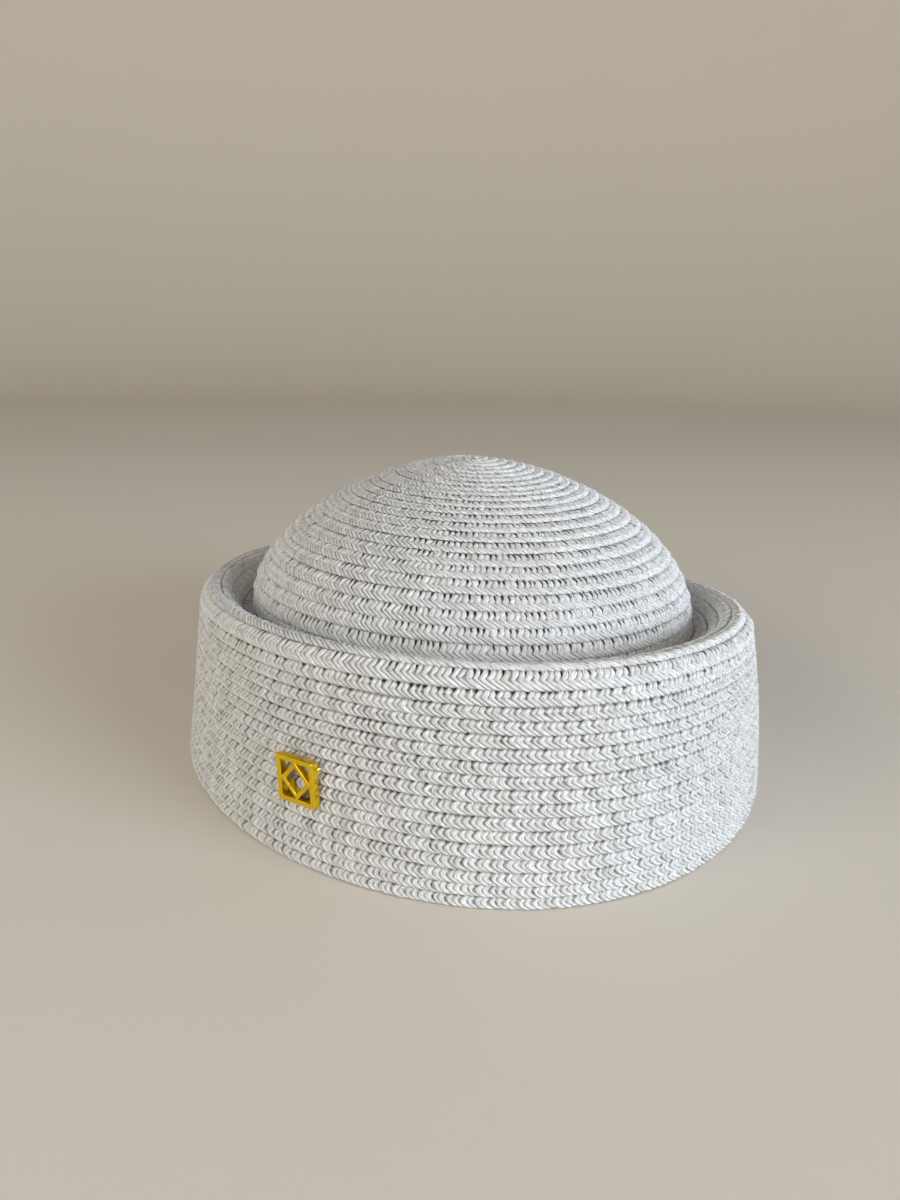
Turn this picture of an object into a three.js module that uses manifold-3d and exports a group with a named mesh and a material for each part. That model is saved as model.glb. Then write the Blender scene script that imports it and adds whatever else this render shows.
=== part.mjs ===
import * as THREE from 'three';
import Module from 'manifold-3d';
import { mergeVertices } from 'three/addons/utils/BufferGeometryUtils.js';

// A sailor cap of sewn straw braid: a domed crown that runs out into a shallow gutter,
// a deep cuff that rolls over at the top and hangs down to a free bottom edge, and a
// small square metal ornament pinned through the cuff with a backing plate inside it.
// Millimetres, +Z up. The origin is on the floor under the middle of the bottom edge.
// The wearer faces -Y, and the wearer's right is -X. The head goes in from below.

// ---- walls ----
const WALL = 2.4;              // thickness of the sewn braid
const GAP = 0.3;               // clearance between neighbouring pieces
const SIDES = 60;              // facets round the oval
const OVAL_PINCH = 0.006;      // how far the oval is drawn in on its diagonals, as a share

// ---- cuff ----
const SIDE_HEIGHT = 43.5;      // where the wall turns into the rolled rim, all round on average
const ROLL_RADIUS = 4.7;       // outer radius of the rolled rim
const SEAM_TURN = 58;          // where the crown's last row ends on the roll, in degrees up from its side
const CUFF_SECTIONS = [
  { name: 'bottom edge', halfWidth: 88.1, halfLength: 101.5, height: 0 },
  { name: 'middle', halfWidth: 85.0, halfLength: 101.3, height: SIDE_HEIGHT / 2 },
  { name: 'rim side', halfWidth: 82.1, halfLength: 95.6, height: SIDE_HEIGHT },
];
// The rim isn't level: it stands higher at the front and on the wearer's right.
const RIM_RISE = { front: 5.9, right: 4.1, ends: 0.9, diagonal: 1.05 };

// ---- crown and gutter ----
const GUTTER_DEPTH = 7.7;      // from the rim's crest down to the gutter's floor
const CROWN_FOOT = { halfWidth: 67.3, halfLength: 74.0, share: 0.5 };
const CROWN_RISE = 45.0;       // from the crown's foot to its top
const CROWN_FULLNESS = 1.61;   // 2 is an ellipse, less is more pointed
const CROWN_STEPS = 14;
// From the crest in to the crown's foot: share of the way in, and share of the depth.
const GUTTER_SECTIONS = [
  { name: 'crest', inward: 0, depth: 0 },
  { name: 'shoulder', inward: 0.24, depth: 0.13 },
  { name: 'slope', inward: 0.48, depth: 0.54 },
  { name: 'floor, outer side', inward: 0.68, depth: 0.9 },
  { name: 'floor', inward: 0.83, depth: 1.0 },
  { name: 'fillet', inward: 0.955, depth: 0.945 },
  { name: 'crown foot', inward: 1, depth: 0.78 },
];

// ---- ornament ----
// spin: turned in its own plane; nod: its top leans out from the wall, both in degrees
const ORNAMENT = { size: 11.7, bar: 1.3, thickness: 2.0, standoff: 0.95, spin: 3, nod: 6 };
const ORNAMENT_PLACE = { angle: -135.8, height: 20.0 };   // round the oval in degrees, up the wall
const POST = { radius: 0.6, reach: 6.3, turn: 35, sides: 12 };   // reach: from the middle out to a post, on the line at that turn
const POST_HOLE_RADIUS = 1.0;
const BACK_PLATE = { width: 16, height: 4.4, thickness: 0.8, standoff: 0.8, corner: 1.2 };

// ---- the oval ----
function rimRise(direction) {
  return -RIM_RISE.right * Math.cos(direction) - RIM_RISE.front * Math.sin(direction)
    - RIM_RISE.ends * Math.cos(2 * direction) - RIM_RISE.diagonal * Math.sin(2 * direction);
}

// A point on the ring of one station, at the oval's own angle.
function ringPoint(station, angle) {
  const pinch = 1 + OVAL_PINCH * Math.cos(4 * angle);
  const x = station.halfWidth * Math.cos(angle) * pinch;
  const y = station.halfLength * Math.sin(angle) * pinch;
  return new THREE.Vector3(x, y, station.height + station.share * rimRise(Math.atan2(y, x)));
}

// The wall's station at a height, by a parabola through the three cuff sections.
function wallStation(height) {
  const s = height / SIDE_HEIGHT;
  const weights = [(1 - s) * (1 - 2 * s), 4 * s * (1 - s), s * (2 * s - 1)];
  const mix = (key) => CUFF_SECTIONS.reduce((sum, section, i) => sum + weights[i] * section[key], 0);
  return { halfWidth: mix('halfWidth'), halfLength: mix('halfLength'), height, share: s };
}

// The same stations moved square to the profile, to the wall's other face. endTurns
// gives the direction that the profile faces at its two ends: 0 out, a quarter turn up.
function offsetStations(stations, distance, endTurns) {
  const last = stations.length - 1;
  const radius = (s) => (s.halfWidth + s.halfLength) / 2;
  return stations.map((station, i) => {
    const before = stations[Math.max(i - 1, 0)];
    const after = stations[Math.min(i + 1, last)];
    let dr = radius(after) - radius(before);
    let dz = after.height - before.height;
    const length = Math.hypot(dr, dz);
    dr /= length;
    dz /= length;
    const turn = i === 0 ? endTurns.first : i === last ? endTurns.last : null;
    if (turn !== null) {
      dr = -Math.sin(turn);
      dz = Math.cos(turn);
    }
    return {
      halfWidth: station.halfWidth - dz * distance,
      halfLength: station.halfLength - dz * distance,
      height: station.height + dr * distance,
      share: station.share,
    };
  });
}

// A closed shell between an outer and an inner list of stations. It is a ring,
// or a dome where the last station of each list has shrunk to a point.
function shell(outer, inner, dome) {
  const positions = [];
  const indices = [];
  const rings = dome ? [...outer.slice(0, -1), null, ...inner.slice(0, -1).reverse()] : [...outer, ...[...inner].reverse()];
  const starts = [];
  const apexes = [];
  rings.forEach((station) => {
    starts.push(positions.length / 3);
    if (!station) {
      for (const tip of [outer[outer.length - 1], inner[inner.length - 1]]) {
        apexes.push(positions.length / 3);
        positions.push(0, 0, tip.height);
      }
      return;
    }
    for (let k = 0; k < SIDES; k++) positions.push(...ringPoint(station, (2 * Math.PI * k) / SIDES));
  });
  const band = (a, b) => {
    for (let k = 0; k < SIDES; k++) {
      const n = (k + 1) % SIDES;
      indices.push(a + k, a + n, b + n, a + k, b + n, b + k);
    }
  };
  const fan = (a, tip, upward) => {
    for (let k = 0; k < SIDES; k++) {
      const n = (k + 1) % SIDES;
      if (upward) indices.push(a + k, a + n, tip);
      else indices.push(a + n, a + k, tip);
    }
  };
  for (let i = 0; i < rings.length; i++) {
    const next = (i + 1) % rings.length;
    if (rings[i] && rings[next]) band(starts[i], starts[next]);
    else if (rings[i]) fan(starts[i], apexes[0], true);
    else fan(starts[next], apexes[1], false);
  }
  const geometry = new THREE.BufferGeometry();
  geometry.setAttribute('position', new THREE.Float32BufferAttribute(positions, 3));
  geometry.setIndex(indices);
  return facingOut(geometry);
}

function facingOut(geometry) {
  const p = geometry.getAttribute('position');
  const index = geometry.getIndex();
  const corner = [new THREE.Vector3(), new THREE.Vector3(), new THREE.Vector3()];
  let volume = 0;
  for (let i = 0; i < index.count; i += 3) {
    corner.forEach((v, j) => v.fromBufferAttribute(p, index.getX(i + j)));
    volume += corner[0].dot(corner[1].clone().cross(corner[2])) / 6;
  }
  if (volume < 0) {
    for (let i = 0; i < index.count; i += 3) {
      const a = index.getX(i);
      index.setX(i, index.getX(i + 1));
      index.setX(i + 1, a);
    }
  }
  geometry.computeVertexNormals();
  return geometry;
}

// ---- solids for joining and cutting ----
const wasm = await Module();
wasm.setup();

function toSolid(geometry) {
  const bare = geometry.clone();
  bare.deleteAttribute('normal');
  bare.deleteAttribute('uv');
  const merged = mergeVertices(bare, 1e-5);
  return new wasm.Manifold(new wasm.Mesh({
    numProp: 3,
    vertProperties: new Float32Array(merged.getAttribute('position').array),
    triVerts: new Uint32Array(merged.getIndex().array),
  }));
}

function toGeometry(solid) {
  const mesh = solid.getMesh();
  const positions = [];
  for (let i = 0; i < mesh.vertProperties.length; i += mesh.numProp) {
    positions.push(mesh.vertProperties[i], mesh.vertProperties[i + 1], mesh.vertProperties[i + 2]);
  }
  const geometry = new THREE.BufferGeometry();
  geometry.setAttribute('position', new THREE.Float32BufferAttribute(positions, 3));
  geometry.setIndex(Array.from(mesh.triVerts));
  geometry.computeVertexNormals();
  return geometry;
}

function rod(radius, from, to, x, sides) {
  const geometry = new THREE.CylinderGeometry(radius, radius, to - from, sides);
  geometry.rotateX(Math.PI / 2);
  geometry.translate(x, 0, (from + to) / 2);
  return geometry;
}

// ---- cuff: bottom edge, wall and rolled rim ----
const rimSide = wallStation(SIDE_HEIGHT);
const crest = {
  halfWidth: rimSide.halfWidth - ROLL_RADIUS,
  halfLength: rimSide.halfLength - ROLL_RADIUS,
  height: SIDE_HEIGHT + ROLL_RADIUS,
  share: 1,
};
const cuffOuter = [];
for (let i = 0; i <= 6; i++) cuffOuter.push(wallStation((SIDE_HEIGHT * i) / 6));
const rollStation = (turn) => ({
  halfWidth: crest.halfWidth + ROLL_RADIUS * Math.cos(turn),
  halfLength: crest.halfLength + ROLL_RADIUS * Math.cos(turn),
  height: SIDE_HEIGHT + ROLL_RADIUS * Math.sin(turn),
  share: 1,
});
const seamTurn = THREE.MathUtils.degToRad(SEAM_TURN);
const halfGapTurn = Math.asin(GAP / 2 / (ROLL_RADIUS - WALL));   // the full gap at the roll's inner face
const CUFF_ROLL_STEPS = 4;
for (let i = 1; i <= CUFF_ROLL_STEPS; i++) cuffOuter.push(rollStation(((seamTurn - halfGapTurn) * i) / CUFF_ROLL_STEPS));
const cuffInner = offsetStations(cuffOuter, WALL, { first: 0, last: seamTurn - halfGapTurn });
let cuffGeometry = shell(cuffOuter, cuffInner, false);

// ---- crown: its last row on the roll, gutter and dome ----
const inwardCurve = new THREE.SplineCurve(GUTTER_SECTIONS.map((s) => new THREE.Vector2(s.inward, s.depth)));
const crownOuter = [];
const CROWN_ROLL_STEPS = 2;
for (let i = 0; i < CROWN_ROLL_STEPS; i++) {
  crownOuter.push(rollStation(THREE.MathUtils.lerp(seamTurn + halfGapTurn, Math.PI / 2, i / CROWN_ROLL_STEPS)));
}
const GUTTER_STEPS = 9;
for (let i = 0; i <= GUTTER_STEPS; i++) {
  const place = inwardCurve.getPoint(i / GUTTER_STEPS);
  crownOuter.push({
    halfWidth: THREE.MathUtils.lerp(crest.halfWidth, CROWN_FOOT.halfWidth, place.x),
    halfLength: THREE.MathUtils.lerp(crest.halfLength, CROWN_FOOT.halfLength, place.x),
    height: crest.height - GUTTER_DEPTH * place.y,
    share: THREE.MathUtils.lerp(1, CROWN_FOOT.share, place.x),
  });
}
const footHeight = crownOuter[crownOuter.length - 1].height;
for (let i = 1; i <= CROWN_STEPS; i++) {
  const turn = (Math.PI / 2) * (i / CROWN_STEPS);
  const spread = i === CROWN_STEPS ? 0 : Math.cos(turn) ** (2 / CROWN_FULLNESS);
  crownOuter.push({
    halfWidth: CROWN_FOOT.halfWidth * spread,
    halfLength: CROWN_FOOT.halfLength * spread,
    height: footHeight + CROWN_RISE * Math.sin(turn),
    share: i === CROWN_STEPS ? 0 : CROWN_FOOT.share * (1 - Math.sin(turn)) ** 1.5,
  });
}
const crownInner = offsetStations(crownOuter, WALL, { first: seamTurn + halfGapTurn, last: Math.PI / 2 });
crownInner[crownInner.length - 1].halfWidth = 0;
crownInner[crownInner.length - 1].halfLength = 0;
const crownGeometry = shell(crownOuter, crownInner, true);

// ---- ornament: where it sits, and how it faces ----
const angle = THREE.MathUtils.degToRad(ORNAMENT_PLACE.angle);
const onWall = (turn, height) => ringPoint(wallStation(height), turn);
const anchor = onWall(angle, ORNAMENT_PLACE.height);
const along = onWall(angle + 0.01, ORNAMENT_PLACE.height).sub(onWall(angle - 0.01, ORNAMENT_PLACE.height)).normalize();
const upWall = onWall(angle, ORNAMENT_PLACE.height + 0.5).sub(onWall(angle, ORNAMENT_PLACE.height - 0.5)).normalize();
const outward = along.clone().cross(upWall).normalize();
const across = upWall.clone().cross(outward).normalize();
const facing = new THREE.Matrix4().makeBasis(across, upWall, outward);

function prism(points, from, to) {
  const shape = new THREE.Shape(points.map(([x, y]) => new THREE.Vector2(x, y)));
  return new THREE.ExtrudeGeometry(shape, { depth: to - from, bevelEnabled: false }).translate(0, 0, from);
}

// The square frame holds a lozenge whose points run into the middles of its sides.
function ornamentSolidShape() {
  const low = -ORNAMENT.thickness / 2;
  const high = ORNAMENT.thickness / 2;
  const half = ORNAMENT.size / 2;
  const open = half - ORNAMENT.bar;
  const bite = 0.35;
  const reach = open + bite - ORNAMENT.bar * 0.85 * Math.SQRT2;
  let solid = toSolid(prism([[-half, -half], [half, -half], [half, half], [-half, half]], low, high));
  solid = solid.subtract(toSolid(prism([[reach, 0], [0, reach], [-reach, 0], [0, -reach]], low - 1, high + 1)));
  for (const [sx, sy] of [[1, 1], [-1, 1], [-1, -1], [1, -1]]) {
    const corner = [[sx * open, sy * bite], [sx * open, sy * open], [sx * bite, sy * open]];
    solid = solid.subtract(toSolid(prism(corner, low - 1, high + 1)));
  }
  return solid;
}
const nod = new THREE.Matrix4().makeRotationX(THREE.MathUtils.degToRad(ORNAMENT.nod)).setPosition(0, 0, ORNAMENT.standoff + ORNAMENT.thickness / 2);
let ornamentSolid = ornamentSolidShape().transform(nod.elements);
const postEnd = -(WALL + BACK_PLATE.standoff + BACK_PLATE.thickness);
const plateCorners = ((w, h, c) => [[-w + c, -h], [w - c, -h], [w, -h + c], [w, h - c], [w - c, h], [-w + c, h], [-w, h - c], [-w, -h + c]])(
  BACK_PLATE.width / 2, BACK_PLATE.height / 2, BACK_PLATE.corner);
const postTurn = THREE.MathUtils.degToRad(POST.turn);
let plateSolid = toSolid(prism(plateCorners, postEnd, postEnd + BACK_PLATE.thickness).rotateZ(postTurn));
let cuffSolid = toSolid(cuffGeometry);
const place = facing.clone().multiply(new THREE.Matrix4().makeRotationZ(THREE.MathUtils.degToRad(ORNAMENT.spin))).setPosition(anchor);
for (const side of [-1, 1]) {
  const x = side * POST.reach;
  const y = x * Math.sin(postTurn);
  const frameMiddle = ORNAMENT.standoff + ORNAMENT.thickness / 2 + y * Math.sin(THREE.MathUtils.degToRad(ORNAMENT.nod));
  ornamentSolid = ornamentSolid.add(toSolid(rod(POST.radius, postEnd, frameMiddle, x, POST.sides).rotateZ(postTurn)));
  plateSolid = plateSolid.subtract(toSolid(rod(POST_HOLE_RADIUS, postEnd - 1, postEnd + BACK_PLATE.thickness + 1, x, 16).rotateZ(postTurn)));
  cuffSolid = cuffSolid.subtract(toSolid(rod(POST_HOLE_RADIUS, postEnd - 2, 3, x, 16).rotateZ(postTurn).applyMatrix4(place)));
}
cuffGeometry = toGeometry(cuffSolid);

// ---- the assembly ----
const straw = () => new THREE.MeshStandardMaterial({ color: 0xdedbd4, roughness: 0.8, metalness: 0 });
const gold = () => new THREE.MeshStandardMaterial({ color: 0xd9a41c, roughness: 0.35, metalness: 1 });

function named(name, geometry, material) {
  const mesh = new THREE.Mesh(geometry, material);
  mesh.name = name;
  return mesh;
}

const cap = new THREE.Group();
cap.add(named('crown', crownGeometry, straw()));
cap.add(named('cuff', cuffGeometry, straw()));
const pin = new THREE.Group();
pin.position.setFromMatrixPosition(place);
pin.quaternion.setFromRotationMatrix(place);
pin.add(named('ornament', toGeometry(ornamentSolid), gold()));
pin.add(named('ornament_back', toGeometry(plateSolid), gold()));
cap.add(pin);
cap.updateMatrixWorld(true);

export default cap;
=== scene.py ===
import math

import bpy
import numpy as np
from mathutils import Matrix, Vector


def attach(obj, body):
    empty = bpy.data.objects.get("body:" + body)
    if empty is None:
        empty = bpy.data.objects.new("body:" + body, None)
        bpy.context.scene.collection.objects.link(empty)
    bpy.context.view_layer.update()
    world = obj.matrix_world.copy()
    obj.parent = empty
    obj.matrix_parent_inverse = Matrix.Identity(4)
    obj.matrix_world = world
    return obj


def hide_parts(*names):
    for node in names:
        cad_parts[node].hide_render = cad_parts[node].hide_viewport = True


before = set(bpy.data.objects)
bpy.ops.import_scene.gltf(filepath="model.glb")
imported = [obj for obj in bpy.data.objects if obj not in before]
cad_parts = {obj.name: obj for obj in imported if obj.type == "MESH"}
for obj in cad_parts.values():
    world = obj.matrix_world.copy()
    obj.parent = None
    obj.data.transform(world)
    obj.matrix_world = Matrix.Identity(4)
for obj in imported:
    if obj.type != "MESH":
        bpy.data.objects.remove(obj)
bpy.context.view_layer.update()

# ---------------------------------------------------------------------------
# The cap's own surface, in millimetres, as the CAD model has it.
# ---------------------------------------------------------------------------
WALL = 2.4
OVAL_PINCH = 0.006
SIDE_HEIGHT = 43.5
ROLL_RADIUS = 4.7
SECTIONS = [  # half width, half length, height
    (88.1, 101.5, 0.0),
    (85.0, 101.3, SIDE_HEIGHT / 2),
    (82.1, 95.6, SIDE_HEIGHT),
]
RISE_FRONT, RISE_RIGHT, RISE_ENDS, RISE_DIAGONAL = 5.9, 4.1, 0.9, 1.05
GUTTER_DEPTH = 7.7
FOOT_HALF_WIDTH, FOOT_HALF_LENGTH, FOOT_SHARE = 67.3, 74.0, 0.5
CROWN_RISE, CROWN_FULLNESS = 45.0, 1.61
GUTTER = [(0, 0), (0.24, 0.13), (0.48, 0.54), (0.68, 0.9), (0.83, 1.0), (0.955, 0.945), (1, 0.78)]


def wall_station(height):
    s = height / SIDE_HEIGHT
    k = ((1 - s) * (1 - 2 * s), 4 * s * (1 - s), s * (2 * s - 1))
    return (sum(k[i] * SECTIONS[i][0] for i in range(3)), sum(k[i] * SECTIONS[i][1] for i in range(3)), height, s)


def catmull(points, t):
    n = len(points)
    p = (n - 1) * t
    i = min(int(p), n - 1)
    f = p - i
    q = [np.array(points[max(0, min(n - 1, j))], float) for j in (i - 1, i, i + 1, i + 2)]
    v0, v1 = (q[2] - q[0]) / 2, (q[3] - q[1]) / 2
    return (2 * q[1] - 2 * q[2] + v0 + v1) * f ** 3 + (-3 * q[1] + 3 * q[2] - 2 * v0 - v1) * f ** 2 + v0 * f + q[1]


def stations():
    """Stations from the top of the crown down to the bottom edge: half width, half length, height, share of the rim's rise."""
    a1, b1 = wall_station(SIDE_HEIGHT)[:2]
    ac, bc, zc = a1 - ROLL_RADIUS, b1 - ROLL_RADIUS, SIDE_HEIGHT + ROLL_RADIUS
    foot = zc - GUTTER_DEPTH * GUTTER[-1][1]
    out = []
    for i in range(300):
        turn = math.pi / 2 * (1 - i / 300)
        spread = max(math.cos(turn), 0.0) ** (2 / CROWN_FULLNESS)
        out.append((FOOT_HALF_WIDTH * spread, FOOT_HALF_LENGTH * spread, foot + CROWN_RISE * math.sin(turn),
                    FOOT_SHARE * (1 - math.sin(turn)) ** 1.5))
    for i in range(121):
        x, y = catmull(GUTTER, 1 - i / 120)
        out.append((ac + (FOOT_HALF_WIDTH - ac) * x, bc + (FOOT_HALF_LENGTH - bc) * x, zc - GUTTER_DEPTH * y,
                    1 + (FOOT_SHARE - 1) * x))
    crest = len(out) - 1
    for i in range(1, 61):
        turn = math.pi / 2 * (1 - i / 60)
        out.append((ac + ROLL_RADIUS * math.cos(turn), bc + ROLL_RADIUS * math.cos(turn), SIDE_HEIGHT + ROLL_RADIUS * math.sin(turn), 1.0))
    side = len(out) - 1
    for i in range(1, 201):
        out.append(wall_station(SIDE_HEIGHT * (1 - i / 200)))
    return np.array(out), crest, side


ST, CREST_I, SIDE_I = stations()
_r = (ST[:, 0] + ST[:, 1]) / 2
WAY = np.concatenate([[0], np.cumsum(np.hypot(np.diff(_r), np.diff(ST[:, 2])))])
W_FOOT, W_CREST, W_SIDE, W_END = WAY[300], WAY[CREST_I], WAY[SIDE_I], WAY[-1]


def raw_point(way, angle):
    a = np.interp(way, WAY, ST[:, 0])
    b = np.interp(way, WAY, ST[:, 1])
    z = np.interp(way, WAY, ST[:, 2])
    share = np.interp(way, WAY, ST[:, 3])
    over = np.maximum(way - W_END, 0)          # a little past the bottom edge: straight down
    pinch = 1 + OVAL_PINCH * np.cos(4 * angle)
    x = a * np.cos(angle) * pinch
    y = b * np.sin(angle) * pinch
    d = np.arctan2(y, x)
    rise = -RISE_RIGHT * np.cos(d) - RISE_FRONT * np.sin(d) - RISE_ENDS * np.cos(2 * d) - RISE_DIAGONAL * np.sin(2 * d)
    return np.stack([x, y, z + share * rise - over], -1)


def surface(way, angle, height):
    """Points that stand off the surface by a height, square to it."""
    p = raw_point(way, angle)
    e = 0.35
    dw = raw_point(way + e, angle) - raw_point(np.maximum(way - e, 0.0), angle)
    r = np.maximum(np.hypot(p[..., 0], p[..., 1]), 0.4)
    ea = e / r
    dt = raw_point(way, angle + ea) - raw_point(way, angle - ea)
    n = np.cross(dw, dt)
    n /= np.maximum(np.linalg.norm(n, axis=-1, keepdims=True), 1e-9)
    flip = np.where((n[..., 2] < 0) & (way < W_FOOT * 0.5), -1.0, 1.0)
    return p + n * flip[..., None] * height[..., None]


# ---------------------------------------------------------------------------
# Braid. A row is one ribbon: its upper edge is tucked under the row above, its
# lower edge lies on the row below. Each strand runs across it as a "<".
# Columns of a table:
#   place    across the row, 0 at the upper groove and 1 at the lower edge
#   height   of the strand's back off the cap's surface, mm
#   valley   how much lower the line between two strands is, mm
#   slit     the same where the strands leave an open slit
#   run      how far the strand has run on along the row, in row widths
#   lean     how much the row's lean adds to that
#   dark     shade on the strand, in the valley, and in the slit
# ---------------------------------------------------------------------------
STRAND = 1.6   # mm along the row for one strand
WALL_ROW = [
    (-0.26, -1.20, 0.00, 0.00, 0.30, 0.0, 0.80, 0.80, 0.90),
    (0.04, -0.64, 0.10, 0.50, 0.26, 0.0, 0.36, 0.54, 0.82),
    (0.14, -0.48, 0.18, 0.60, 0.22, 0.0, 0.27, 0.50, 0.84),
    (0.24, -0.26, 0.22, 0.34, 0.18, 0.0, 0.08, 0.38, 0.55),
    (0.36, -0.16, 0.20, 0.22, 0.11, 0.0, 0.02, 0.33, 0.37),
    (0.46, -0.10, 0.24, 0.28, -0.02, 0.0, 0.05, 0.40, 0.45),
    (0.56, 0.44, 0.48, 0.50, 0.08, 0.0, 0.00, 0.40, 0.43),
    (0.84, 0.54, 0.48, 0.50, 0.54, 0.0, 0.00, 0.36, 0.40),
    (1.03, -0.08, 0.20, 0.20, 0.82, 0.0, 0.07, 0.40, 0.46),
    (0.36, -1.75, 0.00, 0.00, 0.20, 0.0, 0.10, 0.40, 0.40),
]
CROWN_ROW = [
    (-0.22, -1.10, 0.00, 0.00, 0.06, 1.0, 0.80, 0.80, 0.90),
    (0.04, -0.22, 0.16, 0.95, 0.05, 1.0, 0.08, 0.44, 2.20),
    (0.15, 0.00, 0.24, 1.15, 0.05, 0.8, 0.02, 0.42, 2.70),
    (0.27, 0.12, 0.28, 0.60, 0.07, 0.4, 0.00, 0.40, 1.20),
    (0.40, 0.12, 0.24, 0.28, 0.04, 0.0, 0.00, 0.38, 0.42),
    (0.52, 0.14, 0.26, 0.30, -0.03, 0.0, 0.02, 0.46, 0.52),
    (0.62, 0.40, 0.44, 0.46, 0.10, 0.0, 0.00, 0.48, 0.52),
    (0.88, 0.40, 0.42, 0.44, 0.44, 0.0, 0.00, 0.46, 0.50),
    (1.03, 0.00, 0.16, 0.16, 0.62, 0.0, 0.08, 0.46, 0.50),
    (0.36, -1.72, 0.00, 0.00, 0.10, 0.0, 0.10, 0.40, 0.40),
]
CREST_ROW = [
    (-0.20, -1.20, 0.00, 0.00, 0.24, 0.0, 0.80, 0.80, 0.90),
    (0.03, -0.40, 0.26, 0.60, 0.16, 0.0, 0.18, 0.52, 0.90),
    (0.15, 0.00, 0.36, 0.70, 0.12, 0.0, 0.02, 0.52, 0.90),
    (0.30, 0.22, 0.42, 0.50, 0.06, 0.0, 0.00, 0.52, 0.64),
    (0.41, 0.12, 0.36, 0.40, 0.00, 0.0, 0.05, 0.52, 0.56),
    (0.53, 0.20, 0.44, 0.48, 0.02, 0.0, 0.02, 0.54, 0.58),
    (0.66, 0.56, 0.62, 0.66, 0.22, 0.0, 0.00, 0.56, 0.58),
    (0.88, 0.54, 0.60, 0.64, 0.60, 0.0, 0.00, 0.56, 0.58),
    (1.03, -0.04, 0.26, 0.26, 0.84, 0.0, 0.14, 0.56, 0.58),
    (0.36, -1.72, 0.00, 0.00, 0.20, 0.0, 0.10, 0.40, 0.40),
]
ROLL_ROW = [
    (-0.14, -1.15, 0.00, 0.00, 0.12, 1.0, 0.80, 0.80, 0.90),
    (0.03, -0.28, 0.20, 0.90, 0.10, 1.0, 0.12, 0.48, 2.10),
    (0.14, 0.02, 0.30, 1.05, 0.09, 0.8, 0.02, 0.44, 2.50),
    (0.28, 0.16, 0.34, 0.55, 0.09, 0.4, 0.00, 0.42, 1.10),
    (0.41, 0.14, 0.30, 0.32, 0.05, 0.0, 0.00, 0.40, 0.46),
    (0.52, 0.16, 0.34, 0.38, -0.04, 0.0, 0.02, 0.48, 0.54),
    (0.64, 0.52, 0.54, 0.56, 0.12, 0.0, 0.00, 0.50, 0.54),
    (0.90, 0.50, 0.52, 0.54, 0.50, 0.0, 0.00, 0.48, 0.52),
    (1.03, -0.06, 0.20, 0.20, 0.68, 0.0, 0.10, 0.48, 0.54),
    (0.34, -1.72, 0.00, 0.00, 0.10, 0.0, 0.10, 0.40, 0.40),
]
COLUMNS = (0.0, 0.12, 0.50, 0.88)   # across a strand: the valley before it, its first shoulder, its back, its other shoulder
TURN = 2 * math.pi


class Pool:
    """Collects ribbons into one mesh."""

    def __init__(self):
        self.co, self.quads, self.dirt, self.tone, self.uv, self.ends, self.count = [], [], [], [], [], [], 0


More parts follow.
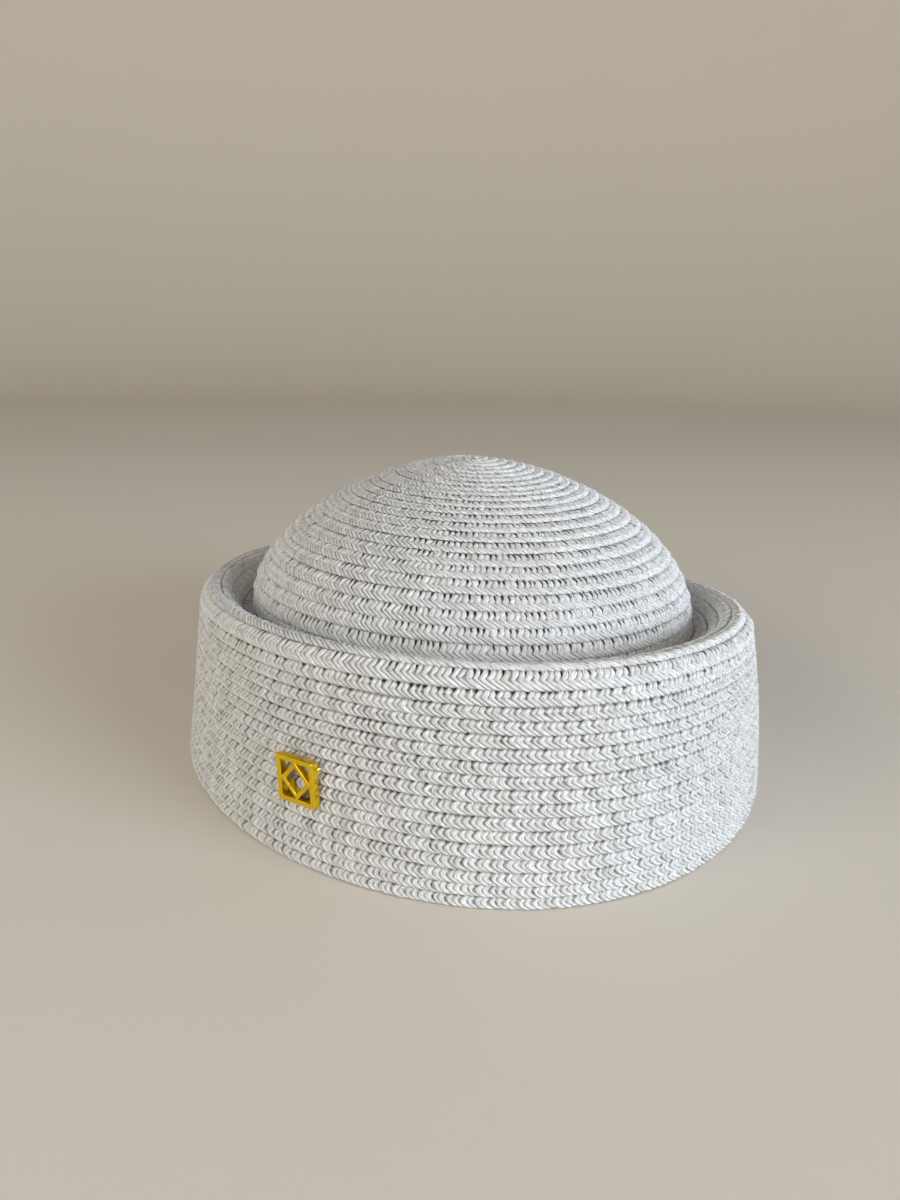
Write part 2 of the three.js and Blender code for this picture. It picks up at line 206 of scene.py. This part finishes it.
def ribbon(pool, start, end, low, high, table, slits, lean, rng, closed, slant=0.0, gape=0.10):
    """A row, or a stretch of a spiral. low and high give the way down the profile of its
    upper and lower line for an angle that runs on past a full turn; slits gives the share
    of open slits and lean the strands' lean for an angle, for one boundary in two and for the other.
    slant is how far an open slit's top stands back, in strands; gape is the share of its shade on the strands beside it."""
    m = max(64, int((end - start) / TURN * 720))
    turn = np.linspace(start, end, m + 1)
    p = raw_point((low(turn) + high(turn)) / 2, turn)
    s = np.concatenate([[0], np.cumsum(np.linalg.norm(np.diff(p, axis=0), axis=1))])
    length = s[-1]
    strands = max(6, 2 * int(round(length / STRAND / 2)))
    unit = length / strands
    per = len(COLUMNS)
    index = np.arange(strands * per + (0 if closed else 1))
    strand = (index // per) % strands
    kind = index % per
    valley = kind == 0
    across = index // per + np.array(COLUMNS)[kind]
    edge = np.where(kind == 3, (strand + 1) % strands, strand)
    shift = rng.normal(0, 0.07, strands) * unit
    lift = rng.normal(0, 0.08, strands)
    fat = rng.normal(0, 0.05, strands)
    tilt = rng.normal(0, 0.14, strands) * unit
    tone = rng.random(strands)
    chance = rng.random(strands)
    # Painted shade in small pits at the row's spine, random per strand.
    pit_shade_strength = rng.random(strands) ** 3
    base = across * unit + np.where(kind == 2, 0.0, shift[edge])
    base = base + np.where(kind == 1, -fat[strand], np.where(kind == 3, fat[strand], 0)) * 0.5 * unit
    theta = np.interp(base, s, turn)
    share_pair, share_odd = slits(theta)
    strength = np.where(strand % 2 == 0, 1.0, 0.78)
    is_slit = chance[strand] < np.where(strand % 2 == 0, share_pair, share_odd)
    grade = 0.5 + 0.7 * rng.random(strands)[strand]
    open_edge = np.where(chance < np.interp(np.arange(strands) * unit, s, np.where(np.arange(m + 1) >= 0, slits(turn)[0], 0)), 1.0, 0.3)
    open_side = np.where(kind == 1, is_slit, np.where(kind == 3, np.roll(is_slit, -1), False)) & (strand >= 0)
    width = np.interp(base, s, high(turn) - low(turn))
    knots = rng.normal(0, 0.07, 37)
    knots[-1] = knots[0]
    wander = np.interp(base / length, np.linspace(0, 1, 37), knots)
    rows, n = len(table), len(index)
    co = np.zeros((rows, n, 3))
    dirt = np.zeros((rows, n))
    uv = np.zeros((rows, n, 2))
    for j, (place, height, dip, slit, run, lean_part, dark, dark_valley, dark_slit) in enumerate(table):
        hidden = place < 0 or height < -1.5
        sj = base + (run + lean_part * lean(theta)) * width
        if not hidden and place < 0.4:
            sj = sj + np.where(kind == 2, 0.4, 1.0) * (tilt[edge] - slant * unit * open_edge[edge]) * (0.4 - place) / 0.4
            sj = sj + np.where(open_side, np.where(kind == 1, 0.06, -0.06) * unit, 0)
        if closed:
            lap = np.floor(sj / length)
            angle = np.interp(sj - lap * length, s, turn) + lap * TURN
        else:
            angle = np.interp(sj, s, turn) + (np.maximum(sj - length, 0) + np.minimum(sj, 0)) / length * (end - start)
        lo, hi = low(angle), high(angle)
        ragged = np.where(valley, -0.09, 0.02) if place > 0.9 else 0.0
        way = lo + (place + ragged) * (hi - lo) + wander
        cut = np.where(is_slit, slit * grade, dip) * strength
        shingle = np.where(kind == 1, 0.05, np.where(kind == 2, 0.10, np.where(kind == 3, -0.08, 0.0)))
        rise = height + (0 if hidden else 1) * (lift[strand] + shingle + rng.normal(0, 0.03, n)) - np.where(valley, cut, 0)
        co[j] = surface(way, angle, rise)
        # Painted shade: darker in the valleys between strands, in open slits and on the strands beside them, and on the
        # tucked and recessed parts under the row above.
        deep = np.where(is_slit, dark_slit * grade, dark_valley * (0.75 + 0.25 * grade)) * (0.8 + 0.2 * strength)
        pit_shade = np.where(valley | (kind == 1), 0.42 * pit_shade_strength[strand], 0.10 * pit_shade_strength[strand]) if 0.4 < place < 0.58 else 0.0
        dirt[j] = np.where(valley, deep * np.where(is_slit, 1.0, 0.84) + 0.5 * pit_shade, dark + pit_shade + np.where(open_side, gape * dark_slit, 0))
        uv[j, :, 0] = across
        uv[j, :, 1] = place * width / STRAND + 7.3 * (strand % 11)
    # Painted shade: up to 1.55 times stronger round the side at 205°, which the fill lamp lights flat.
    dirt *= 1 + 0.55 * np.clip(np.cos(theta - math.radians(205)), 0, 1)
    ids = np.arange(rows * n).reshape(rows, n) + pool.count
    quads = []
    for j in range(rows):
        a, b = ids[j], ids[(j + 1) % rows]
        if closed:
            quads.append(np.stack([a, b, np.roll(b, -1), np.roll(a, -1)], -1))
        else:
            quads.append(np.stack([a[:-1], b[:-1], b[1:], a[1:]], -1))
    if not closed:
        pool.ends.append((ids[:, 0], ids[:, -1]))
    pool.quads.append(np.concatenate(quads))
    pool.co.append(co.reshape(-1, 3))
    pool.dirt.append(dirt.reshape(-1))
    # Random tone per strand; on the gutter's strands a painted light too, the tone raised by 0.3 to pale them.
    pool.tone.append(np.broadcast_to(0.8 * tone[strand] + (0.3 if table is GUTTER_ROW else 0.0), (rows, n)).reshape(-1))
    pool.uv.append(uv.reshape(-1, 2))
    pool.count += rows * n


def make_mesh(name, pool):
    co = np.concatenate(pool.co) * 0.001
    co[:, 2] = np.maximum(co[:, 2], 0.00002)
    quads = np.concatenate(pool.quads).astype(np.int32)
    mesh = bpy.data.meshes.new(name)
    mesh.vertices.add(len(co))
    mesh.vertices.foreach_set("co", co.astype(np.float32).ravel())
    caps = pool.ends
    loops = [quads.ravel()]
    starts = [np.arange(len(quads)) * 4]
    totals = [np.full(len(quads), 4)]
    at = len(quads) * 4
    for first, last in caps:
        for ring, flip in ((first, False), (last, True)):
            ring = ring if flip else ring[::-1]
            loops.append(ring.astype(np.int32))
            starts.append(np.array([at]))
            totals.append(np.array([len(ring)]))
            at += len(ring)
    loops = np.concatenate(loops).astype(np.int32)
    starts = np.concatenate(starts).astype(np.int32)
    mesh.loops.add(len(loops))
    mesh.loops.foreach_set("vertex_index", loops)
    mesh.polygons.add(len(starts))
    mesh.polygons.foreach_set("loop_start", starts)
    mesh.polygons.foreach_set("use_smooth", np.ones(len(starts), bool))
    mesh.update(calc_edges=True)
    mesh.validate()
    for key, values in (("dirt", pool.dirt), ("tone", pool.tone)):
        layer = mesh.attributes.new(key, "FLOAT", "POINT")
        layer.data.foreach_set("value", np.concatenate(values).astype(np.float32))
    uv = np.concatenate(pool.uv)[loops].astype(np.float32)
    layer = mesh.uv_layers.new(name="strands")
    layer.data.foreach_set("uv", uv.ravel())
    obj = bpy.data.objects.new(name, mesh)
    bpy.context.scene.collection.objects.link(obj)
    return obj


def blended(a, b, k):
    return [tuple(x + (y - x) * k for x, y in zip(p, q)) for p, q in zip(a, b)]


# Gutter rows: flatter strands than the crown's, and much less painted shade in them, a painted light for the shaded
# channel.
GUTTER_ROW = [(place, height * (0.55 if height > -1 else 1), valley * 0.7, slit * 0.3, run, lean, dark * 0.3, valley_dark * 0.6, slit_dark * 0.25)
              for place, height, valley, slit, run, lean, dark, valley_dark, slit_dark in CROWN_ROW]


def level(way):
    return lambda turn: way + 0 * turn


def crown_slits(theta):
    """Open slits are many on the wearer's left front and few on the right."""
    p = np.clip(0.50 + 0.45 * np.cos(theta + math.radians(60)), 0.05, 0.92)
    return p, p * 0.55


def crown_lean(theta):
    return 0.02 + 0.14 * np.cos(theta - math.radians(200))


def roll_slits(theta):
    p = np.clip(0.28 + 0.46 * np.cos(theta + math.radians(50)), 0.03, 0.8)
    return p, p * 0.5


def wall_slits(theta):
    return 0.86 + 0 * theta, 0.10 + 0 * theta


def no_lean(theta):
    return 0 * theta


rng = np.random.default_rng(11)

# --- crown: one spiral of braid from the top down into the gutter; its rows widen on the way ---
SPIRAL_ZERO = -5.04
RING_EDGES = [97.4, 101.7, 106.0, 110.2]   # rings that follow the spiral, up to the seam on the rim
LINES = [1.5, 4.4, 7.4, 10.4, 13.4, 16.4, 19.5, 22.6, 25.6, 28.5, 31.3, 34.2, 37.5, 41.0, 44.7, 48.5, 52.4, 56.45,
         60.7, 65.0, 69.4, 73.8, 78.3, 82.75, 87.3, 92.1, 97.4]   # way of each lap's line, at 0.58 of a lap
LAPS = [0.0] + [k + 0.58 for k in range(len(LINES))]


def spiral(turn):
    laps = np.maximum((turn - SPIRAL_ZERO) / TURN, 0)
    return np.interp(laps, LAPS, [0.0] + LINES)


def spiral_low(turn):
    return spiral(turn)


def spiral_high(turn):
    return spiral(turn + TURN)


def laps_to(way):
    return float(np.interp(way, [0.0] + LINES, LAPS))


def back_after(way):
    """The turn at which the spiral passes the back of the cap near that way."""
    turn = SPIRAL_ZERO + TURN * laps_to(way)
    return math.pi / 2 + TURN * round((turn - math.pi / 2) / TURN)


spiral_end = SPIRAL_ZERO + TURN * laps_to(RING_EDGES[0])
cut_1, cut_2 = back_after(64), back_after(87)
top, side, gutter = Pool(), Pool(), Pool()
ribbon(top, SPIRAL_ZERO - TURN * 0.55, cut_1, spiral_low, spiral_high, CROWN_ROW, crown_slits, crown_lean, rng, False, 0.34)
ribbon(side, cut_1, cut_2, spiral_low, spiral_high, CROWN_ROW, crown_slits, crown_lean, rng, False, 0.34)
ribbon(gutter, cut_2, spiral_end - 0.25, spiral_low, spiral_high, GUTTER_ROW, crown_slits, crown_lean, rng, False, 0.34)
for k in range(len(RING_EDGES) - 1):
    table = CREST_ROW if k == len(RING_EDGES) - 2 else GUTTER_ROW
    ribbon(gutter, 0, TURN, level(RING_EDGES[k]), level(RING_EDGES[k + 1]), table, roll_slits, crown_lean, rng, True, 0.3)

# --- cuff: rings of braid from the seam down to the bottom edge ---
EDGES = [110.2, 114.8, 117.75, 120.4, 123.05, 125.6, 128.2, 130.8, 133.4, 136.1, 138.9, 141.7, 144.5, 147.4, 150.4, 153.4, 156.1, 158.75]
cuffs = [Pool(), Pool(), Pool()]
for k in range(len(EDGES) - 1):
    table = ROLL_ROW if k == 0 else blended(ROLL_ROW, WALL_ROW, 0.65) if k == 1 else WALL_ROW
    ribbon(cuffs[0 if k < 6 else 1 if k < 12 else 2], 0, TURN, level(EDGES[k]), level(EDGES[k + 1]), table,
           roll_slits if k == 0 else wall_slits, crown_lean if k == 0 else no_lean, rng, True, 0.3 if k == 0 else 0.0, 0.10 if k == 0 else 0.40)

braid_pieces = [
    (make_mesh("braid_crown_top", top), "crown"),
    (make_mesh("braid_crown_side", side), "crown"),
    (make_mesh("braid_gutter", gutter), "crown"),
    (make_mesh("braid_rim", cuffs[0]), "cuff"),
    (make_mesh("braid_cuff_middle", cuffs[1]), "cuff"),
    (make_mesh("braid_cuff_lower", cuffs[2]), "cuff"),
]


# ---------------------------------------------------------------------------
# Materials
# ---------------------------------------------------------------------------
def new_material(name):
    m = bpy.data.materials.new(name)
    m.use_nodes = True
    m.node_tree.nodes.clear()
    return m, m.node_tree.nodes, m.node_tree.links


def straw_material():
    m, n, l = new_material("straw_braid")
    out = n.new("ShaderNodeOutputMaterial")
    b = n.new("ShaderNodeBsdfPrincipled")
    l.new(b.outputs[0], out.inputs[0])
    b.inputs["Roughness"].default_value = 0.62
    b.inputs["Specular IOR Level"].default_value = 0.4
    b.inputs["Sheen Weight"].default_value = 0.1
    b.inputs["Sheen Roughness"].default_value = 0.5
    dirt = n.new("ShaderNodeAttribute"); dirt.attribute_name = "dirt"
    tone = n.new("ShaderNodeAttribute"); tone.attribute_name = "tone"
    uv = n.new("ShaderNodeUVMap"); uv.uv_map = "strands"
    ramp = n.new("ShaderNodeValToRGB")
    ramp.color_ramp.elements[0].position = 0.0
    ramp.color_ramp.elements[0].color = (0.81, 0.80, 0.785, 1)
    ramp.color_ramp.elements[1].position = 0.8
    ramp.color_ramp.elements[1].color = (0.94, 0.93, 0.925, 1)
    # Painted light: this palest stop is reached only by the gutter strands' raised tone.
    pale = ramp.color_ramp.elements.new(1.0)
    pale.color = (0.985, 0.98, 0.975, 1)
    l.new(tone.outputs["Fac"], ramp.inputs[0])
    # twisted filaments along each strand
    def calc(kind, a, b_=None, c=None):
        node = n.new("ShaderNodeMath")
        node.operation = kind
        for i, value in enumerate((a, b_, c)):
            if value is None:
                continue
            if isinstance(value, (int, float)):
                node.inputs[i].default_value = value
            else:
                l.new(value, node.inputs[i])
        return node.outputs[0]

    split = n.new("ShaderNodeSeparateXYZ")
    l.new(uv.outputs[0], split.inputs[0])
    mapping = n.new("ShaderNodeMapping")
    mapping.inputs["Scale"].default_value = (4.0, 1.5, 1.0)
    l.new(uv.outputs[0], mapping.inputs[0])
    fibre = n.new("ShaderNodeTexNoise")
    fibre.inputs["Scale"].default_value = 1.0
    fibre.inputs["Detail"].default_value = 4.0
    fibre.inputs["Distortion"].default_value = 0.8
    l.new(mapping.outputs[0], fibre.inputs["Vector"])
    place = calc("FRACT", split.outputs[0])
    middle = calc("MULTIPLY_ADD", place, 2.0, -1.0)
    rounding = calc("SUBTRACT", 1.0, calc("MULTIPLY", middle, middle))
    phase = calc("ADD", calc("MULTIPLY", split.outputs[0], 3.0), calc("MULTIPLY", split.outputs[1], 0.9))
    phase = calc("ADD", phase, calc("MULTIPLY", fibre.outputs["Fac"], 1.6))
    filament = calc("MULTIPLY_ADD", calc("COSINE", calc("MULTIPLY", phase, 6.2832)), 0.5, 0.5)
    relief = calc("ADD", calc("MULTIPLY", rounding, 0.6), calc("MULTIPLY", filament, 0.20))
    relief = calc("ADD", relief, calc("MULTIPLY", fibre.outputs["Fac"], 1.1))
    # Fibre noise and filaments darken the colour where the bump is low: a random fibre tone, and painted shade in the
    # low places.
    fr = n.new("ShaderNodeValToRGB")
    fr.color_ramp.elements[0].position = 0.35
    fr.color_ramp.elements[0].color = (0.45, 0.44, 0.41, 1)
    fr.color_ramp.elements[1].position = 0.52
    fr.color_ramp.elements[1].color = (1, 1, 1, 1)
    l.new(calc("ADD", calc("MULTIPLY", fibre.outputs["Fac"], 0.75), calc("MULTIPLY", filament, 0.25)), fr.inputs[0])
    mix_f = n.new("ShaderNodeMix"); mix_f.data_type = "RGBA"; mix_f.blend_type = "MULTIPLY"
    mix_f.inputs[0].default_value = 0.80
    l.new(ramp.outputs[0], mix_f.inputs[6])
    l.new(fr.outputs[0], mix_f.inputs[7])
    # Painted shade: the shade attribute darkens the straw's colour, down to near black in the deepest slits.
    dark = n.new("ShaderNodeValToRGB")
    e = dark.color_ramp.elements
    e[0].position = 0.0; e[0].color = (1, 1, 1, 1)
    e[1].position = 1.0; e[1].color = (0.045, 0.045, 0.04, 1)
    for at, colour in ((0.20, (0.90, 0.90, 0.89, 1)), (0.42, (0.60, 0.59, 0.55, 1)), (0.70, (0.27, 0.26, 0.23, 1))):
        mid = e.new(at); mid.color = colour
    l.new(dirt.outputs["Fac"], dark.inputs[0])
    mix_d = n.new("ShaderNodeMix"); mix_d.data_type = "RGBA"; mix_d.blend_type = "MULTIPLY"
    mix_d.inputs[0].default_value = 1.0
    l.new(mix_f.outputs[2], mix_d.inputs[6])
    l.new(dark.outputs[0], mix_d.inputs[7])
    l.new(mix_d.outputs[2], b.inputs["Base Color"])
    bump = n.new("ShaderNodeBump")
    bump.inputs["Strength"].default_value = 0.8
    bump.inputs["Distance"].default_value = 0.00030
    l.new(relief, bump.inputs["Height"])
    l.new(bump.outputs[0], b.inputs["Normal"])
    return m


def gold_material():
    m, n, l = new_material("gold_metal")
    out = n.new("ShaderNodeOutputMaterial")
    b = n.new("ShaderNodeBsdfPrincipled")
    l.new(b.outputs[0], out.inputs[0])
    b.inputs["Metallic"].default_value = 1.0
    coord = n.new("ShaderNodeTexCoord")
    noise = n.new("ShaderNodeTexNoise")
    noise.inputs["Scale"].default_value = 420.0
    noise.inputs["Detail"].default_value = 4.0
    l.new(coord.outputs["Object"], noise.inputs["Vector"])
    ramp = n.new("ShaderNodeValToRGB")
    ramp.color_ramp.elements[0].position = 0.3
    ramp.color_ramp.elements[0].color = (0.90, 0.57, 0.015, 1)
    ramp.color_ramp.elements[1].position = 0.7
    ramp.color_ramp.elements[1].color = (1.0, 0.72, 0.04, 1)
    l.new(noise.outputs["Fac"], ramp.inputs[0])
    l.new(ramp.outputs[0], b.inputs["Base Color"])
    rough = n.new("ShaderNodeMapRange")
    rough.inputs["To Min"].default_value = 0.18
    rough.inputs["To Max"].default_value = 0.32
    l.new(noise.outputs["Fac"], rough.inputs["Value"])
    l.new(rough.outputs[0], b.inputs["Roughness"])
    bump = n.new("ShaderNodeBump")
    bump.inputs["Strength"].default_value = 0.12
    bump.inputs["Distance"].default_value = 0.0002
    l.new(noise.outputs["Fac"], bump.inputs["Height"])
    l.new(bump.outputs[0], b.inputs["Normal"])
    return m


straw = straw_material()
gold = gold_material()
for piece, node in braid_pieces:
    piece.data.materials.append(straw)
    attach(piece, "root")
    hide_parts(node)


# ---------------------------------------------------------------------------
# Ornament: a bevelled square frame with a lozenge in it, and two posts.
# ---------------------------------------------------------------------------
ORNAMENT_SIZE, ORNAMENT_BAR, ORNAMENT_THICK, STANDOFF, SPIN, NOD = 11.7, 1.3, 2.0, 0.95, 3.0, 6.0
ORNAMENT_ANGLE, ORNAMENT_HEIGHT = math.radians(-135.8), 20.0
POST_RADIUS, POST_REACH, POST_TURN = 0.6, 6.3, math.radians(35)   # from the middle out to a post, and the line it is on
PLATE_STANDOFF, PLATE_THICK = 0.8, 0.8


def wall_point(angle, height):
    a, b, z, share = wall_station(height)
    pinch = 1 + OVAL_PINCH * math.cos(4 * angle)
    x, y = a * math.cos(angle) * pinch, b * math.sin(angle) * pinch
    d = math.atan2(y, x)
    rise = -RISE_RIGHT * math.cos(d) - RISE_FRONT * math.sin(d) - RISE_ENDS * math.cos(2 * d) - RISE_DIAGONAL * math.sin(2 * d)
    return Vector((x, y, z + share * rise))


anchor = wall_point(ORNAMENT_ANGLE, ORNAMENT_HEIGHT)
along = (wall_point(ORNAMENT_ANGLE + 0.01, ORNAMENT_HEIGHT) - wall_point(ORNAMENT_ANGLE - 0.01, ORNAMENT_HEIGHT)).normalized()
up_wall = (wall_point(ORNAMENT_ANGLE, ORNAMENT_HEIGHT + 0.5) - wall_point(ORNAMENT_ANGLE, ORNAMENT_HEIGHT - 0.5)).normalized()
outward = along.cross(up_wall).normalized()
across = up_wall.cross(outward).normalized()
facing = Matrix((across, up_wall, outward)).transposed().to_4x4()
place = Matrix.Translation(anchor) @ facing @ Matrix.Rotation(math.radians(SPIN), 4, "Z")


def rounded_square(half, radius, turned):
    pts = []
    radius = min(radius, half * 0.45)
    for q in range(4):
        centre = (half - radius) * np.array([[1, 1], [-1, 1], [-1, -1], [1, -1]][q])
        for k in range(5):
            a = math.pi / 2 * (q + k / 4)
            pts.append(centre + radius * np.array([math.cos(a), math.sin(a)]))
    pts = np.array(pts)
    if turned:
        c = math.sqrt(0.5)
        pts = pts @ np.array([[c, c], [-c, c]])
    return pts


def bar_loop(half, bar, low, high, bevel, corner, turned):
    """A closed bar bent round a square, with rounded long edges."""
    section = []
    steps = 4
    for cx, cz, start in ((bar - bevel, high - bevel, 0.0), (bevel, high - bevel, 90.0), (bevel, low + bevel, 180.0), (bar - bevel, low + bevel, 270.0)):
        for k in range(steps + 1):
            a = math.radians(start + 90.0 * k / steps)
            section.append((cx + bevel * math.cos(a), cz + bevel * math.sin(a)))
    co, faces = [], []
    n = 20
    for inward, z in section:
        ring = rounded_square(half - inward, max(corner - inward, 0.08), turned)
        co += [(x, y, z) for x, y in ring]
    m = len(section)
    for i in range(m):
        for k in range(n):
            a, b = i * n + k, i * n + (k + 1) % n
            c, d = ((i + 1) % m) * n + (k + 1) % n, ((i + 1) % m) * n + k
            faces.append((a, b, c, d))
    return co, faces


def post(x, y, low, high, radius):
    co, faces = [], []
    n = 20
    rings = [(0.0, low), (radius - 0.12, low), (radius, low + 0.12), (radius, high)]
    for r, z in rings[1:]:
        co += [(x + r * math.cos(2 * math.pi * k / n), y + r * math.sin(2 * math.pi * k / n), z) for k in range(n)]
    for i in range(len(rings) - 2):
        for k in range(n):
            faces.append((i * n + k, i * n + (k + 1) % n, (i + 1) * n + (k + 1) % n, (i + 1) * n + k))
    faces.append(tuple(reversed(range(n))))
    faces.append(tuple(range((len(rings) - 2) * n, (len(rings) - 1) * n)))
    return co, faces


def nodded(part):
    """The frame's top leans out from the wall."""
    turn = Matrix.Translation((0, 0, STANDOFF + ORNAMENT_THICK / 2)) @ Matrix.Rotation(math.radians(NOD), 4, "X")
    return [tuple(turn @ Vector(c)) for c in part[0]], part[1]


def post_top(side):
    return STANDOFF + ORNAMENT_THICK / 2 - 0.2 + side * POST_REACH * math.sin(POST_TURN) * math.sin(math.radians(NOD))


def join(name, parts, matrix):
    co, faces = [], []
    for c, f in parts:
        base = len(co)
        co += c
        faces += [tuple(i + base for i in face) for face in f]
    mesh = bpy.data.meshes.new(name)
    mesh.from_pydata([tuple((matrix @ Vector(c)) * 0.001) for c in co], [], faces)
    mesh.update()
    mesh.validate()
    import bmesh
    bm = bmesh.new()
    bm.from_mesh(mesh)
    bmesh.ops.recalc_face_normals(bm, faces=bm.faces)
    bm.to_mesh(mesh)
    bm.free()
    for p in mesh.polygons:
        p.use_smooth = True
    obj = bpy.data.objects.new(name, mesh)
    bpy.context.scene.collection.objects.link(obj)
    obj.data.materials.append(gold)
    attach(obj, "root")
    return obj


half = ORNAMENT_SIZE / 2
inner = half - ORNAMENT_BAR
lozenge_bar = ORNAMENT_BAR * 0.85
lozenge_half = (inner + 0.35) / math.sqrt(2)
post_end = -(WALL + PLATE_STANDOFF + PLATE_THICK)
ornament = join("square_pin", [
    nodded(bar_loop(half, ORNAMENT_BAR, -ORNAMENT_THICK / 2, ORNAMENT_THICK / 2, 0.2, 0.35, False)),
    nodded(bar_loop(lozenge_half, lozenge_bar, 0.1 - ORNAMENT_THICK / 2, ORNAMENT_THICK / 2 - 0.15, 0.2, 0.25, True)),
    post(-POST_REACH * math.cos(POST_TURN), -POST_REACH * math.sin(POST_TURN), post_end, post_top(-1), POST_RADIUS),
    post(POST_REACH * math.cos(POST_TURN), POST_REACH * math.sin(POST_TURN), post_end, post_top(1), POST_RADIUS),
], place)
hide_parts("ornament")
edge = ornament.modifiers.new("edges", "WEIGHTED_NORMAL")
edge.keep_sharp = True
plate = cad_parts["ornament_back"]
plate.data.materials.clear()
plate.data.materials.append(gold)


# ---------------------------------------------------------------------------
# Stage, light and camera
# ---------------------------------------------------------------------------
def stage_material():
    m, n, l = new_material("pale_floor")
    out = n.new("ShaderNodeOutputMaterial")
    b = n.new("ShaderNodeBsdfPrincipled")
    l.new(b.outputs[0], out.inputs[0])
    b.inputs["Base Color"].default_value = (0.79, 0.725, 0.63, 1)
    b.inputs["Roughness"].default_value = 0.55
    b.inputs["Specular IOR Level"].default_value = 0.3
    return m


def cove():
    """A round pale floor that sweeps up into a wall all the way round."""
    profile = [(0.0, 0.0), (0.9, 0.0), (1.5, 0.0)]
    for k in range(1, 13):
        a = math.pi / 2 * k / 12
        profile.append((1.5 + 0.8 * math.sin(a), 0.8 - 0.8 * math.cos(a)))
    profile.append((2.3, 1.0))
    n = 96
    co = [(0.0, 0.0, 0.0)]
    for r, z in profile[1:]:
        co += [(r * math.cos(2 * math.pi * k / n), r * math.sin(2 * math.pi * k / n), z) for k in range(n)]
    faces = [(0, 1 + k, 1 + (k + 1) % n) for k in range(n)]
    for i in range(len(profile) - 2):
        a, b = 1 + i * n, 1 + (i + 1) * n
        faces += [(a + k, b + k, b + (k + 1) % n, a + (k + 1) % n) for k in range(n)]
    mesh = bpy.data.meshes.new("floor")
    mesh.from_pydata(co, [], faces)
    for p in mesh.polygons:
        p.use_smooth = True
    obj = bpy.data.objects.new("floor", mesh)
    bpy.context.scene.collection.objects.link(obj)
    obj.data.materials.append(stage_material())
    return obj


floor = cove()

world = bpy.data.worlds.new("soft_room")
bpy.context.scene.world = world
world.use_nodes = True
bg = world.node_tree.nodes.get("Background") or world.node_tree.nodes.new("ShaderNodeBackground")
bg.inputs[1].default_value = 1.0
sky_place = world.node_tree.nodes.new("ShaderNodeTexCoord")
sky_split = world.node_tree.nodes.new("ShaderNodeSeparateXYZ")
sky = world.node_tree.nodes.new("ShaderNodeValToRGB")
sky.color_ramp.elements[0].position = 0.35
sky.color_ramp.elements[0].color = (0.60, 0.575, 0.535, 1)
sky.color_ramp.elements[1].position = 0.9
sky.color_ramp.elements[1].color = (0.16, 0.152, 0.14, 1)
world.node_tree.links.new(sky_place.outputs["Generated"], sky_split.inputs[0])
world.node_tree.links.new(sky_split.outputs[2], sky.inputs[0])
world.node_tree.links.new(sky.outputs[0], bg.inputs[0])


def area(name, where, towards, size, power, colour):
    light = bpy.data.lights.new(name, "AREA")
    light.shape = "RECTANGLE"
    light.size, light.size_y = size
    light.energy = power
    light.color = colour
    obj = bpy.data.objects.new(name, light)
    obj.location = where
    obj.rotation_euler = (Vector(towards) - Vector(where)).to_track_quat("-Z", "Y").to_euler()
    bpy.context.scene.collection.objects.link(obj)
    return obj


area("key", (0.80, -1.08, 0.31), (0.0, 0.0, 0.04), (0.80, 0.70), 20.7, (0.76, 0.86, 1.0))
area("fill", (-1.0, -0.55, 0.46), (0.0, 0.0, 0.04), (0.8, 0.6), 6.4, (1.0, 0.98, 0.915))
bpy.context.scene.view_settings.view_transform = "Standard"

camera_data = bpy.data.cameras.new("camera")
camera_data.sensor_fit = "VERTICAL"
camera_data.sensor_height = 36.0
camera_data.sensor_width = 27.0
camera_data.lens = 855.43 / 1200.0 * 36.0
camera_data.clip_start = 0.01
camera = bpy.data.objects.new("camera", camera_data)
look = Vector((0.25329558, 0.92197364, -0.29292654))
right = Vector((0.96551165, -0.25979082, 0.01720413))
up = Vector((0.06023787, 0.28718172, 0.95598016))
camera.matrix_world = Matrix((
    (right.x, up.x, -look.x, -0.07599),
    (right.y, up.y, -look.y, -0.25279),
    (right.z, up.z, -look.z, 0.12230),
    (0, 0, 0, 1),
))
bpy.context.scene.collection.objects.link(camera)
bpy.context.scene.camera = camera
bpy.context.view_layer.update()

tris = {o.name: sum(len(p.vertices) - 2 for p in o.data.polygons) for o, _ in braid_pieces}
print("triangles", tris, sum(tris.values()))
